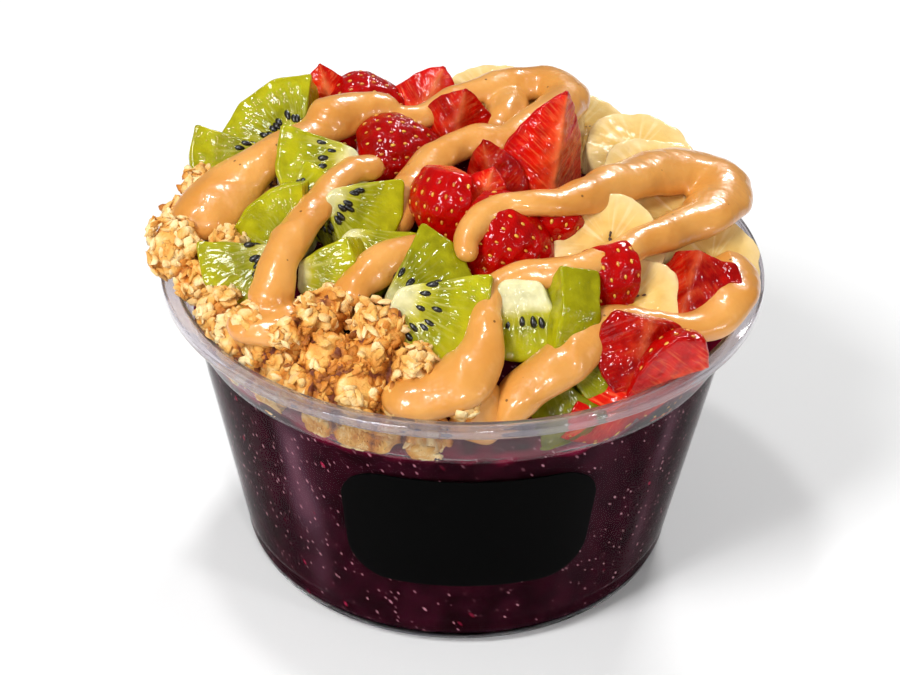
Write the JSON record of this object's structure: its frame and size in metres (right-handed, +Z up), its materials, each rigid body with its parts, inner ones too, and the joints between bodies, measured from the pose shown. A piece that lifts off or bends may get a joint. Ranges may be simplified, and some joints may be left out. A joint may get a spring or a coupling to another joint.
{
  "type": "acai bowl",
  "caption": "Clear plastic cup of frozen acai puree, heaped with granola, kiwi, strawberry and banana under ropes of nut butter.",
  "frame": {"origin": "middle of the foot ring that the cup stands on; the whole is centred over it", "axes": "+Z up, -Y towards the side with the label, +X to the right as seen from that side"},
  "size_m": [0.1433, 0.142, 0.115],
  "materials": {
    "cup": "clear moulded plastic, glossy",
    "puree": "thick dark purple puree, slightly wet",
    "label": "black label, satin",
    "kiwi": "wet green fruit flesh",
    "strawberry": "wet red fruit flesh and skin",
    "banana": "soft cream fruit flesh",
    "granola": "toasted oat clusters, dry",
    "nut_butter": "smooth tan nut butter, glossy"
  },
  "bodies": {
    "root": {"cup": "cup", "acai_puree": "puree", "label": "label", "granola": "granola", "kiwi_01": "kiwi", "kiwi_02": "kiwi", "kiwi_03": "kiwi", "kiwi_04": "kiwi", "kiwi_05": "kiwi", "kiwi_06": "kiwi", "kiwi_07": "kiwi", "kiwi_08": "kiwi", "kiwi_09": "kiwi", "kiwi_10": "kiwi", "kiwi_11": "kiwi", "kiwi_12": "kiwi", "kiwi_13": "kiwi", "kiwi_14": "kiwi", "kiwi_15": "kiwi", "strawberry_01": "strawberry", "strawberry_02": "strawberry", "strawberry_03": "strawberry", "strawberry_04": "strawberry", "strawberry_05": "strawberry", "strawberry_06": "strawberry", "strawberry_07": "strawberry", "strawberry_08": "strawberry", "strawberry_09": "strawberry", "strawberry_10": "strawberry", "strawberry_11": "strawberry", "strawberry_12": "strawberry", "strawberry_13": "strawberry", "strawberry_14": "strawberry", "strawberry_15": "strawberry", "strawberry_16": "strawberry", "banana_01": "banana", "banana_02": "banana", "banana_03": "banana", "banana_04": "banana", "banana_05": "banana", "banana_06": "banana", "banana_07": "banana", "banana_08": "banana", "banana_09": "banana", "nut_butter_back": "nut_butter", "nut_butter_left": "nut_butter", "nut_butter_middle": "nut_butter", "nut_butter_right": "nut_butter", "nut_butter_front": "nut_butter"}
  },
  "joints": []
}
